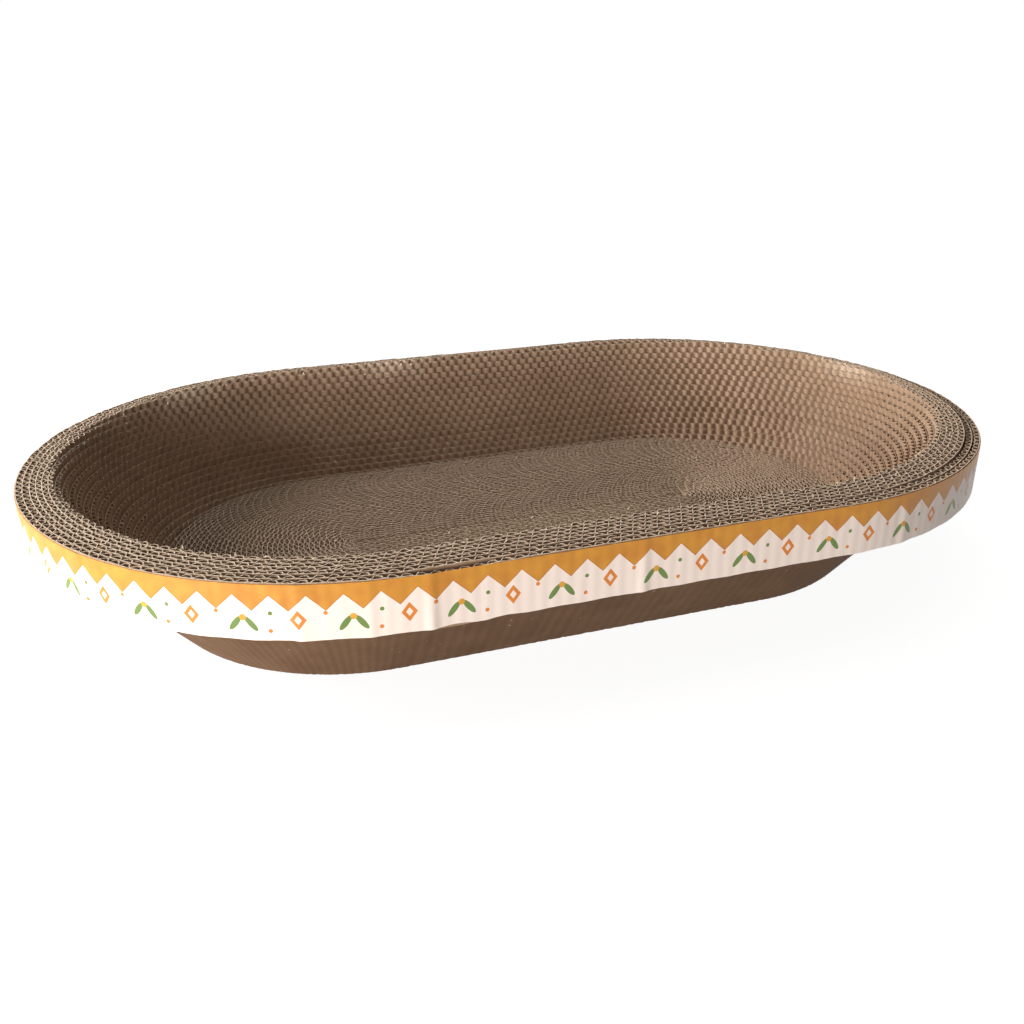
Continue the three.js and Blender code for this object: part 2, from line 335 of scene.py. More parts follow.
class WoundPath:
    """The strip by turn: its distance inwards, its upper edge and the count of its flutes."""

    def __init__(self, settings):
        turns, board = settings.turns, settings.board
        counts = {
            "rim_winding": turns.rim,
            "wall_winding_upper": turns.upper_wall,
            "wall_winding_lower": turns.lower_wall,
            "floor_winding_outer": turns.outer_floor,
            "floor_winding_inner": turns.inner_floor,
        }
        rim, core = outer_inset("rim_winding"), outer_inset("core_winding")
        self.pitch = (core - rim) / sum(counts.values())
        self.slack = self.pitch - PACKED_STRIP
        self.last = math.floor((END_RADIUS - rim) / self.pitch) - 0.5
        starts = np.concatenate(([0], np.cumsum([*counts.values()]), [self.last]))
        self.spans = dict(zip((*counts, "core_winding"), zip(starts, starts[1:])))
        self.lay_turns(turns.hoop, turns.rim, rim - self.slack / 2, board.front_room)
        self.count_flutes(board.flute_pitch)

    def lay_turns(self, hoop_turns, rim_turns, rim, front_room):
        """Lays the turns from the outside inwards.

        The hoop keeps its outer turn in one oval and crosses to the next on the right half of the rear
        side. The other turns spiral inwards, and those of the rim lie loosest along the front.
        """
        self.first = -hoop_turns - REAR_SHARE / 2
        self.hoop_last = -JOINT_GAP / AROUND
        hoop = outer_inset("rim_hoop") - self.slack / 2
        drift = HOOP_DRIFT * self.pitch
        self.knots, self.insets = [], []
        for turn in range(hoop_turns):
            inwards = drift if turn else 0.0
            self.knots += [self.first + turn, turn + 1 - hoop_turns - REAR_SHARE]
            self.insets += [hoop + turn * self.pitch, hoop + turn * self.pitch + inwards]
        self.knots += [0, self.last + 1]
        self.insets += [rim, rim + (self.last + 1) * self.pitch]
        self.loose_knots = (-hoop_turns, rim_turns, self.last + 1)
        self.loose = (0.0, front_room, 0.0)

    def count_flutes(self, flute_pitch):
        """Counts flutes at the corners of the oval, so that they move evenly from turn to turn."""
        rear, front = self.shift_sum(REAR_SHIFTS), self.shift_sum(FRONT_SHIFTS)
        side = 2 * STRAIGHT_HALF / flute_pitch
        turns = np.arange(math.floor(self.first), math.ceil(self.last) + 1)
        middles = (FRONT_START / 2, 0.5 + FRONT_START / 2)  # of the two round ends
        ends = [math.pi * (END_RADIUS - self.inset(turns + share)) for share in middles]
        laps = np.concatenate(([0.0], np.cumsum(ends[0] + ends[1] + 4 * STRAIGHT_HALF)[:-1])) / flute_pitch
        rear_left = np.round(laps - rear(turns)) + rear(turns)
        front_left = np.round(laps + ends[0] / flute_pitch - front(turns)) + front(turns)
        rear_right = np.append(rear_left[1:] - side, np.inf)
        marks = turns[:, None] + (0.0, FRONT_START, 0.5, 0.5 + FRONT_START)
        flutes = np.stack((rear_left, front_left, front_left + side, rear_right), axis=1)
        self.marks, self.flutes = marks.ravel()[:-1], flutes.ravel()[:-1]

    def shift_sum(self, shifts):
        """A function that gives the sum of the shifts up to a turn."""
        turns = np.arange(-4, 80)
        total = np.cumsum(np.interp(turns, *np.transpose(shifts)))
        return lambda turn: np.interp(turn, turns, total)

    def inset(self, turn):
        """Distance inwards to the outer side of the room that a turn has."""
        front = np.maximum(-oval_place(turn * AROUND)[2], 0.0) ** 2
        loose = np.interp(turn, self.loose_knots, self.loose)
        return np.interp(turn, self.knots, self.insets) + front * loose

    def room(self, turn):
        """Distance to the next turn inwards."""
        return self.inset(turn + 1) - self.inset(turn)

    def top(self, turn):
        """Upper edge: level on the rim, lower with each turn of the wall, and level again on the floor."""
        out_y = oval_place(turn * AROUND)[2]
        down = wall_slope(out_y) * (self.inset(turn) + self.slack / 2 - rim_width(out_y))
        return HEIGHT - np.clip(down, 0.0, WALL_HEIGHT)

    def samples(self, first, last, per_flute):
        """Turns and flute counts at even steps of the flutes, between two turns."""
        low, high = np.interp((first, last), self.marks, self.flutes)
        even = np.arange(math.floor(low * per_flute) + 1, high * per_flute) / per_flute
        flutes = np.concatenate(([low], even, [high]))
        return np.interp(flutes, self.flutes, self.marks), flutes


def hoop_slip(x):
    """How far the hoop and its band have slid down at the right end."""
    low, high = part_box("printed_band")
    share = np.clip((x - HOOP_SLIP_START) / (LENGTH / 2 - HOOP_SLIP_START), 0.0, 1.0)
    return (high.z - low.z - STRIP_HEIGHT) * share**2


# Meshes


class Sheet(NamedTuple):
    """A sheet swept along a path: its cross-sections, the sides that are cut edges, and named values."""

    rings: np.ndarray
    edges: tuple
    values: dict


def flat_layout(sheets):
    """Places in one square for the corners of every face: each sheet unrolled and folded into rows."""
    least = 1.2 * MM
    alongs, widths = [], []
    for sheet in sheets:
        steps = np.linalg.norm(np.diff(sheet.rings.mean(axis=1), axis=0), axis=1)
        alongs.append(np.concatenate(([0.0], np.cumsum(steps))))
        sides = np.linalg.norm(np.roll(sheet.rings, -1, axis=1) - sheet.rings, axis=2).mean(axis=0)
        widths.append(np.maximum(sides, least))
    heights = [width.sum() + least for width in widths]
    fold = math.sqrt(sum(along[-1] * height for along, height in zip(alongs, heights)))
    base, corners = 0.0, []
    for along, width, height in zip(alongs, widths, heights):
        row = np.floor(along[:-1] / fold)
        left = (along[:-1] - row * fold)[:, None]
        right = left + np.diff(along)[:, None]
        low = base + (row * height)[:, None] + (np.cumsum(width) - width)
        high = low + width
        left, right = np.broadcast_arrays(left, right, low)[:2]
        places = ((left, low), (left, high), (right, high), (right, low))
        quads = np.stack([np.stack(place, axis=-1) for place in places], axis=2)
        caps = np.full((2, len(width), 2), (0.0, base))
        corners += [quads.reshape(-1, 2), caps.reshape(-1, 2)]
        base += (row[-1] + 1) * height
    flat = np.concatenate(corners)
    return flat / (flat.max(axis=0) + least)


def swept_object(name, sheets, materials):
    """One object from swept sheets, with the faces of cut edges in the second material."""
    points, loops, sizes, slots, first = [], [], [], [], 0
    for sheet in sheets:
        count, sides = sheet.rings.shape[:2]
        index = first + np.arange(count * sides).reshape(count, sides)
        after = np.roll(index, -1, axis=1)
        quads = np.stack((index[:-1], after[:-1], after[1:], index[1:]), axis=-1)
        loops += [quads.ravel(), index[0, ::-1], index[-1]]
        sizes += [np.full((count - 1) * sides, 4), np.full(2, sides)]
        cut = np.isin(np.arange(sides), sheet.edges)
        slots += [np.tile(cut, count - 1), np.ones(2, bool)]
        points.append(sheet.rings.reshape(-1, 3))
        first += count * sides
    loops, sizes, points = np.concatenate(loops), np.concatenate(sizes), np.concatenate(points)
    mesh = bpy.data.meshes.new(name)
    mesh.vertices.add(len(points))
    mesh.vertices.foreach_set("co", points.astype(np.float32).ravel())
    mesh.loops.add(len(loops))
    mesh.loops.foreach_set("vertex_index", loops.astype(np.int32))
    mesh.polygons.add(len(sizes))
    mesh.polygons.foreach_set("loop_start", (np.cumsum(sizes) - sizes).astype(np.int32))
    mesh.polygons.foreach_set("material_index", np.concatenate(slots).astype(np.int32))
    mesh.polygons.foreach_set("use_smooth", np.ones(len(sizes), bool))
    for key in sheets[0].values:
        spread = [np.broadcast_to(sheet.values[key], sheet.rings.shape[:2]).ravel() for sheet in sheets]
        layer = mesh.attributes.new(key, "FLOAT", "POINT")
        layer.data.foreach_set("value", np.concatenate(spread).astype(np.float32))
    layout = mesh.uv_layers.new(name=BAKE_MAP)
    layout.uv.foreach_set("vector", flat_layout(sheets).astype(np.float32).ravel())
    mesh.update(calc_edges=True)
    mesh.set_sharp_from_angle(angle=math.radians(48))
    if mesh.validate():
        raise RuntimeError(f"{name} has faulty faces")
    for material in materials:
        mesh.materials.append(material)
    made = bpy.data.objects.new(name, mesh)
    bpy.context.scene.collection.objects.link(made)
    return made


def settle(piece, slot, *nodes):
    """Seats a piece on the part's one body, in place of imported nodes."""
    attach(piece, BODY)
    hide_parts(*nodes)


def wear_light_and_shade(turn, inset):
    """Wear of the faces along a strip, with painted light on the floor's front half, and the share of fresh
    fibres along its cut edges, kept low on the wall as painted shade.
    """
    place = oval_point(turn * AROUND, inset, 0.0)
    edge = inset - rim_width(oval_place(turn * AROUND)[2])
    scuffs = sum(bump(np.mod(turn, 1.0), centre, reach) for centre, reach in SCUFFS)
    wear = SCUFF_WEAR * scuffs * np.exp(-((edge / SCUFF_DEPTH) ** 2))
    # The floor's front half is paled: partly real fraying, partly painted light
    lengthwise = np.exp(-(((place[:, 0] - FRAY_PLACE) / FRAY_REACH) ** 2))
    frayed = lengthwise / (1 + np.exp(place[:, 1] / FRAY_EDGE - 1))
    wear = wear + np.where(edge > WALL_WIDTH, FRAY_WEAR_AND_LIGHT * frayed, 0.0)
    return wear, np.maximum(np.interp(edge, FRESH_AND_SHADE_EDGES, FRESH_AND_SHADE_SHARES), wear)


def board_sheets(path, first, last, board, seed, lowered=None):
    """The liner and the fluted sheet of a strip between two turns, with the flutes on its inner side."""
    random = np.random.default_rng(seed)
    tones = random.normal(0.5, TURN_TONES, math.ceil(last - first) + 2)
    sheets = []
    for steps in (board.flute_steps, 2):
        turn, flutes = path.samples(first, last, steps)
        along = turn * AROUND
        inset = path.inset(turn) + board.wander * slow_wave(turn, SEED)
        top = path.top(turn) + board.wander * slow_wave(turn, SEED + 1)
        if lowered:
            top -= lowered(oval_point(along, inset, 0.0)[:, 0], turn)
        bottom = np.maximum(top - STRIP_HEIGHT, 0.0)
        top += np.minimum(random.normal(0.0, board.raggedness, len(turn)), 2 * board.raggedness)
        if steps > 2:
            thickness = np.minimum(path.room(turn) - PAPER_GAP, board.thickness)
            depth = thickness - board.liner_paper - board.fluted_paper
            angle = 2 * math.pi * flutes
            square = np.interp(path.room(turn), (path.pitch, board.thickness), CREST_FLATNESS)
            wave = square * (np.cos(angle) - board.crest_bias)
            high = np.tanh(square * (1 - board.crest_bias))
            low = np.tanh(-square * (1 + board.crest_bias))
            inwards = depth * (high - np.tanh(wave)) / (high - low)
            centre = inset + board.liner_paper + board.fluted_paper / 2 + inwards
            steep = square / (high - low) / np.cosh(wave) ** 2
            slope = 2 * math.pi * depth / board.flute_pitch * steep * np.sin(angle)
            half = board.fluted_paper / 2 / np.sqrt(1 + slope**2)
        else:
            centre = inset + board.liner_paper / 2
            slope = np.zeros_like(turn)
            half = board.liner_paper / 2
        corners = (
            oval_point(along, centre - half, bottom, slope * half),
            oval_point(along, centre + half, bottom, -slope * half),
            oval_point(along, centre + half, top, -slope * half),
            oval_point(along, centre - half, top, slope * half),
        )
        tone = tones[np.floor(turn - first).astype(int)] + random.normal(0.0, FLUTE_TONES, len(turn))
        # The faces are paled by real scuffs and by painted light on the floor's front half; the share of
        # fresh fibres stays low on the wall as painted shade
        wear, fresh = wear_light_and_shade(turn, inset)
        values = {"tone": tone[:, None], "wear": wear[:, None], "fresh": fresh[:, None]}
        sheets.append(Sheet(np.stack(corners, axis=1), (0, 2), values))
    return sheets


def upright_rings(along, inner, outer, rows, lower, upper):
    """Cross-sections of a thin wall: up its inner side and down its outer side, in rows.

    Each of inner, outer, lower and upper takes the share of the way up and gives a value along the wall.
    """
    ups = np.linspace(0.0, 1.0, rows + 1)
    points = []
    for side, shares in ((inner, ups), (outer, ups[::-1])):
        for up in shares:
            points.append(oval_point(along, side(up), lower + (upper - lower) * up))
    return np.stack(points, axis=1)


# Materials

MIX_A, MIX_B, MIX_RESULT = 6, 7, 2  # colour sockets of a Mix node


def add_node(tree, kind, inputs=(), **settings):
    """Adds a node with its settings. An input takes a value or another node's output."""
    node = tree.nodes.new(kind)
    for name, value in settings.items():
        setattr(node, name, value)
    for key, value in dict(inputs).items():
        if isinstance(value, bpy.types.NodeSocket):
            tree.links.new(value, node.inputs[key])
        else:
            node.inputs[key].default_value = value
    return node


def rgba(colour):
    """A colour for a socket."""
    return (*colour, 1.0)


def new_material(name):
    """An empty material with a surface shader, and its node tree."""
    material = bpy.data.materials.new(name)
    material.use_nodes = True
    tree = material.node_tree
    tree.nodes.clear()
    shader = add_node(tree, "ShaderNodeBsdfPrincipled")
    add_node(tree, "ShaderNodeOutputMaterial", {"Surface": shader.outputs["BSDF"]})
    return material, tree, shader


def kraft_board(name, light, dark, fresh, bared, roughness, fibre, relief):
    """Unbleached kraft paper: matt and softly blotched, with pale, dark and freshly bared fibres. The
    attribute that pales it holds real wear and fresh fibres, painted light on the floor's front half, and,
    where it stays low on the wall's edges, painted shade.
    """
    material, tree, shader = new_material(name)
    place = add_node(tree, "ShaderNodeTexCoord").outputs["Object"]
    tone = add_node(tree, "ShaderNodeAttribute", attribute_name="tone").outputs["Fac"]
    pale_share = add_node(tree, "ShaderNodeAttribute", attribute_name=bared).outputs["Fac"]
    blotch = add_node(tree, "ShaderNodeTexNoise", {"Vector": place, "Scale": 1 / (28 * MM), "Detail": 3.0})
    fibres = add_node(tree, "ShaderNodeTexNoise", {"Vector": place, "Scale": 1 / fibre, "Detail": 4.0})
    mottled = add_node(
        tree, "ShaderNodeMath", {0: blotch.outputs["Fac"], 1: fibres.outputs["Fac"]}, operation="ADD"
    )
    uneven = add_node(tree, "ShaderNodeMath", {0: mottled.outputs[0], 1: tone}, operation="ADD")
    level = add_node(
        tree, "ShaderNodeMapRange", {"Value": uneven.outputs[0], "From Min": 0.9, "From Max": 2.1}
    )
    paper = add_node(
        tree,
        "ShaderNodeMix",
        {0: level.outputs["Result"], MIX_A: rgba(dark), MIX_B: rgba(light)},
        data_type="RGBA",
    )
    rough = add_node(
        tree, "ShaderNodeMapRange", {"Value": fibres.outputs["Fac"], "From Min": 0.3, "From Max": 0.6}
    )
    # The mix toward the pale colour holds real wear and fresh fibres, painted light on the floor's front half
    # and, where low on the wall's edges, painted shade
    torn = add_node(tree, "ShaderNodeMath", {0: pale_share, 1: rough.outputs["Result"]}, operation="MULTIPLY")
    paled = add_node(
        tree,
        "ShaderNodeMix",
        {0: torn.outputs[0], MIX_A: paper.outputs[MIX_RESULT], MIX_B: rgba(fresh)},
        data_type="RGBA",
    )
    bumps = add_node(
        tree, "ShaderNodeBump", {"Height": fibres.outputs["Fac"], "Strength": 0.6, "Distance": relief}
    )
    tree.links.new(paled.outputs[MIX_RESULT], shader.inputs["Base Color"])
    tree.links.new(bumps.outputs["Normal"], shader.inputs["Normal"])
    shader.inputs["Roughness"].default_value = roughness
    shader.inputs["Specular IOR Level"].default_value = 0.2
    return material


def strip_materials(colours):
    """Kraft paper for the faces of the strip, and its fuzzy cut edges, paler where fibres are fresh. The
    edges' dark base, of kraft shade and cut shade, is painted shade where few fibres are fresh, on the bowl's
    wall.
    """
    kraft, shade, fresh = colours.kraft, colours.kraft_shade, colours.cut_edge
    faces = kraft_board("Kraft corrugated board", kraft, shade, fresh, "wear", 0.88, 1.1 * MM, 0.06 * MM)
    edges = kraft_board("Cut kraft edge", shade, colours.cut_shade, fresh, "fresh", 0.95, 0.8 * MM, 0.12 * MM)
    return faces, edges


# Motifs of the print, in millimetres: place along a repeat, depth below the upper edge, half width,
# half height, tilt in degrees, colour, and whether its corners are pointed
MOTIFS = (
    (11.0, 15.5, 3.4, 4.4, 0, "orange", True),
    (11.0, 15.5, 1.5, 2.0, 0, "coated_paper", True),
    (29.6, 17.6, 1.3, 4.0, 38, "green", False),
    (36.2, 17.6, 1.3, 4.0, -38, "green", False),
    (32.9, 14.8, 1.4, 1.4, 0, "amber", False),
    (22.0, 12.6, 0.9, 0.9, 0, "orange", False),
    (43.9, 20.6, 0.9, 0.9, 0, "orange", False),
    (0.0, 12.6, 0.9, 0.9, 0, "green", False),
)


def coated_print(settings):
    """Coated printing paper: smooth and satin, a pale ground under flat inks that pool a little."""
    band, colours = settings.band, settings.colours
    material, tree, shader = new_material("Coated printed paper")
    along = add_node(tree, "ShaderNodeAttribute", attribute_name="along").outputs["Fac"]
    below = add_node(tree, "ShaderNodeAttribute", attribute_name="below").outputs["Fac"]
    place = add_node(tree, "ShaderNodeCombineXYZ", {"X": along, "Y": below}).outputs["Vector"]
    mottle = add_node(tree, "ShaderNodeTexNoise", {"Vector": place, "Scale": 1 / (9 * MM), "Detail": 2.0})
    ink = add_node(
        tree,
        "ShaderNodeMix",
        {0: mottle.outputs["Fac"], MIX_A: rgba(colours.amber_deep), MIX_B: rgba(colours.amber)},
        data_type="RGBA",
    )
    # The border hangs in points: its depth rises and falls evenly along the band
    half_point = AROUND / band.points / 2
    fold = add_node(tree, "ShaderNodeMath", {0: along, 1: half_point}, operation="PINGPONG")
    depth = add_node(
        tree,
        "ShaderNodeMath",
        {0: fold.outputs[0], 1: band.point / half_point, 2: band.border},
        operation="MULTIPLY_ADD",
    )
    colour = rgba(colours.coated_paper)
    for reach, paint in ((0.5 * MM, rgba(colours.amber_deep)), (0.0, ink.outputs[MIX_RESULT])):
        edge = add_node(tree, "ShaderNodeMath", {0: depth.outputs[0], 1: reach}, operation="ADD")
        inside = add_node(tree, "ShaderNodeMath", {0: below, 1: edge.outputs[0]}, operation="LESS_THAN")
        colour = add_node(
            tree, "ShaderNodeMix", {0: inside.outputs[0], MIX_A: colour, MIX_B: paint}, data_type="RGBA"
        ).outputs[MIX_RESULT]
    repeat = AROUND / band.repeats
    for start, depth_below, half_width, half_height, tilt, paint, pointed in MOTIFS:
        centre = Vector((start, depth_below, 0.0)) * MM
        half_repeat = Vector((repeat / 2, WIDTH, WIDTH))
        wrapped = add_node(
            tree,
            "ShaderNodeVectorMath",
            {0: place, 1: centre + half_repeat, 2: centre - half_repeat},
            operation="WRAP",
        )
        local = add_node(
            tree,
            "ShaderNodeMapping",
            {
                "Vector": wrapped.outputs[0],
                "Location": centre,
                "Rotation": (0.0, 0.0, math.radians(tilt)),
                "Scale": (half_width * MM, half_height * MM, 1.0),
            },
            vector_type="TEXTURE",
        )
        if pointed:
            folded = add_node(tree, "ShaderNodeVectorMath", {0: local.outputs[0]}, operation="ABSOLUTE")
            far = add_node(
                tree,
                "ShaderNodeVectorMath",
                {0: folded.outputs[0], 1: (1.0, 1.0, 0.0)},
                operation="DOT_PRODUCT",
            )
        else:
            far = add_node(tree, "ShaderNodeVectorMath", {0: local.outputs[0]}, operation="LENGTH")
        inside = add_node(tree, "ShaderNodeMath", {0: far.outputs["Value"], 1: 1.0}, operation="LESS_THAN")
        colour = add_node(
            tree,
            "ShaderNodeMix",
            {0: inside.outputs[0], MIX_A: colour, MIX_B: rgba(getattr(colours, paint))},
            data_type="RGBA",
        ).outputs[MIX_RESULT]
    grain = add_node(tree, "ShaderNodeTexNoise", {"Vector": place, "Scale": 1 / (1.6 * MM), "Detail": 2.0})
    bumps = add_node(
        tree, "ShaderNodeBump", {"Height": grain.outputs["Fac"], "Strength": 0.25, "Distance": 0.03 * MM}
    )
    gloss = add_node(
        tree, "ShaderNodeMapRange", {"Value": mottle.outputs["Fac"], "To Min": 0.34, "To Max": 0.48}
    )
    tree.links.new(colour, shader.inputs["Base Color"])
    tree.links.new(bumps.outputs["Normal"], shader.inputs["Normal"])
    tree.links.new(gloss.outputs["Result"], shader.inputs["Roughness"])
    return material


def liner_paper(colours):
    """Smooth kraft liner, darkened as painted shade of the skirt under the band: a slight calendered sheen, a
    few pale flecks, and faint lines over the flutes, painted shade of their ripple.
    """
    material, tree, shader = new_material("Smooth kraft liner")
    place = add_node(tree, "ShaderNodeTexCoord").outputs["Object"]
    flute = add_node(tree, "ShaderNodeAttribute", attribute_name="flute").outputs["Fac"]
    blotch = add_node(tree, "ShaderNodeTexNoise", {"Vector": place, "Scale": 1 / (22 * MM), "Detail": 5.0})
    fibres = add_node(tree, "ShaderNodeTexNoise", {"Vector": place, "Scale": 1 / (0.9 * MM), "Detail": 3.0})
    mottled = add_node(
        tree,
        "ShaderNodeMath",
        {0: fibres.outputs["Fac"], 1: 0.45, 2: blotch.outputs["Fac"]},
        operation="MULTIPLY_ADD",
    )
    # The flute phase lightens the liner where it is high and darkens it where it is low, in lines along the
    # flutes: painted shade of the ripple that the geometry also has
    lined = add_node(
        tree, "ShaderNodeMath", {0: flute, 1: 0.09, 2: mottled.outputs[0]}, operation="MULTIPLY_ADD"
    )
    level = add_node(
        tree, "ShaderNodeMapRange", {"Value": lined.outputs[0], "From Min": 0.4, "From Max": 1.05}
    )
    paper = add_node(
        tree,
        "ShaderNodeMix",
        {0: level.outputs["Result"], MIX_A: rgba(colours.liner_shade), MIX_B: rgba(colours.liner)},
        data_type="RGBA",
    )
    flecks = add_node(tree, "ShaderNodeTexNoise", {"Vector": place, "Scale": 1 / (2.2 * MM), "Detail": 1.0})
    fleck = add_node(
        tree, "ShaderNodeMapRange", {"Value": flecks.outputs["Fac"], "From Min": 0.76, "From Max": 0.84}
    )
    flecked = add_node(
        tree,
        "ShaderNodeMix",
        {0: fleck.outputs["Result"], MIX_A: paper.outputs[MIX_RESULT], MIX_B: rgba(colours.cut_edge)},
        data_type="RGBA",
    )
    bumps = add_node(
        tree, "ShaderNodeBump", {"Height": fibres.outputs["Fac"], "Strength": 0.4, "Distance": 0.04 * MM}
    )
    tree.links.new(flecked.outputs[MIX_RESULT], shader.inputs["Base Color"])
    tree.links.new(bumps.outputs["Normal"], shader.inputs["Normal"])
    shader.inputs["Roughness"].default_value = 0.72
    shader.inputs["Specular IOR Level"].default_value = 0.1
    return material


# Operators


class SCRATCHER_OT_wind_spiral(bpy.types.Operator):
    """Winds the strip of the rim, the wall, the floor and the core"""

    bl_idname = "scratcher.wind_spiral"
    bl_label = "Wind the bowl"

    def execute(self, context):
        settings = context.scene.scratcher
        materials = strip_materials(settings.colours)
        path = WoundPath(settings)
        gap = JOINT_GAP / AROUND
        for number, (node, (first, last)) in enumerate(path.spans.items()):
            sheets = board_sheets(path, first + gap, last - gap, settings.board, SEED + number)
            settle(swept_object(f"{node}_board", sheets, materials), SLOTS[node], node)
        return {"FINISHED"}


class SCRATCHER_OT_wind_hoop(bpy.types.Operator):
    """Winds the hoop under the band, slid down at the right end and crushed a little at the front"""

    bl_idname = "scratcher.wind_hoop"
    bl_label = "Wind the hoop"

    def execute(self, context):
        settings = context.scene.scratcher
        path = WoundPath(settings)

        def lowered(x, turn):
            crushed = CRUSHED_DEPTH * bump(np.mod(turn, 1.0), CRUSHED_PLACE, CRUSHED_REACH)
            return hoop_slip(x) + np.where(turn < path.first + 1, crushed, 0.0)

        sheets = board_sheets(path, path.first, path.hoop_last, settings.board, SEED + 20, lowered)
        piece = swept_object("rim_hoop_board", sheets, strip_materials(settings.colours))
        settle(piece, SLOTS["rim_hoop"], "rim_hoop")
        return {"FINISHED"}


class SCRATCHER_OT_wrap_band(bpy.types.Operator):
    """Wraps the printed paper band round the hoop, with the buckles of paper that was glued slack"""

    bl_idname = "scratcher.wrap_band"
    bl_label = "Wrap the band"

    def execute(self, context):
        settings = context.scene.scratcher
        band = settings.band
        path = WoundPath(settings)
        gap = JOINT_GAP / AROUND
        turn, flutes = path.samples(path.first + gap, path.first + 1 - gap, 8)
        share, along = np.mod(turn, 1.0), turn * AROUND
        upper = HEIGHT - band.setback - hoop_slip(oval_point(along, 0.0, 0.0)[:, 0])
        frill = bump(share, FRILL_PLACE, FRILL_REACH) + 0.4
        lower = upper - STRIP_HEIGHT + band.edge_wave * frill * np.sin(2 * math.pi * share * FRILL_WAVES)
        reach = band.buckle_width / AROUND
        buckles = sum(size * bump(share, centre, reach) for centre, size in BUCKLES)
        ripple = band.ripple * np.cos(2 * math.pi * flutes)
        slack = slow_wave(turn * 3, SEED + 30)
        flat = path.insets[0] - band.paper - PAPER_GAP

        def outer(up):
            lifted = band.buckle_height * buckles * (1.0 - 0.55 * up)
            return flat - lifted - ripple - 0.06 * MM * slack * (1.0 - up)

        def inner(up):
            return outer(up) + band.paper

        rings = upright_rings(along, inner, outer, band.rows, lower, upper)
        below = upper[:, None] - rings[:, :, 2]
        values = {"along": along[:, None], "below": below}
        edges = (band.rows, 2 * band.rows + 1)
        coated = coated_print(settings)
        piece = swept_object("printed_band_paper", [Sheet(rings, edges, values)], (coated, coated))
        settle(piece, SLOTS["printed_band"], "printed_band")
        return {"FINISHED"}


class SCRATCHER_OT_wrap_skirt(bpy.types.Operator):
    """Wraps the tapered skirt of corrugated board round the stepped underside"""

    bl_idname = "scratcher.wrap_skirt"
    bl_label = "Wrap the skirt"

    def execute(self, context):
        settings = context.scene.scratcher
        board = settings.board
        clearance = WALL_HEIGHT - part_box("outer_skirt")[1].z
        gap = JOINT_GAP / AROUND
        count = round(AROUND / board.flute_pitch)
        rows, liner_steps = 4, 4
        sheets = []
        for steps in (board.flute_steps, liner_steps):
            turn = np.linspace(-REAR_SHARE / 2 + gap, 1 - REAR_SHARE / 2 - gap, count * steps + 1)
            along = turn * AROUND
            wave = np.cos(2 * math.pi * count * turn)
            ragged = np.random.default_rng(SEED + 40 + steps).normal(0.0, board.raggedness, len(turn))
            if steps > liner_steps:
                depth = PACKED_STRIP - board.liner_paper - board.fluted_paper
                near = board.liner_paper + depth * (0.5 + 0.5 * wave)
                paper = board.fluted_paper
            else:
                near = SKIRT_RIPPLE * wave
                paper = board.liner_paper
            out_y = oval_place(along)[2]
            slope = wall_slope(out_y)
            level = np.sin(np.arctan(slope))  # turns a thickness of board into a level distance
            top = WALL_HEIGHT - clearance - hoop_slip(oval_point(along, 0.0, 0.0)[:, 0])

            def outer(up):
                stairs = rim_width(out_y) + (WALL_HEIGHT - top * up) / slope
                return stairs + (near - clearance - PACKED_STRIP) / level

            def inner(up):
                return outer(up) + paper / level

            rings = upright_rings(along, inner, outer, rows, np.maximum(ragged, 0.0), top)
            values = {"flute": wave[:, None], "tone": 0.5, "fresh": 0.3}
            sheets.append(Sheet(rings, (rows, 2 * rows + 1), values))
        cut = strip_materials(settings.colours)[1]
        piece = swept_object("outer_skirt_board", sheets, (liner_paper(settings.colours), cut))
        settle(piece, SLOTS["outer_skirt"], "outer_skirt")
        return {"FINISHED"}


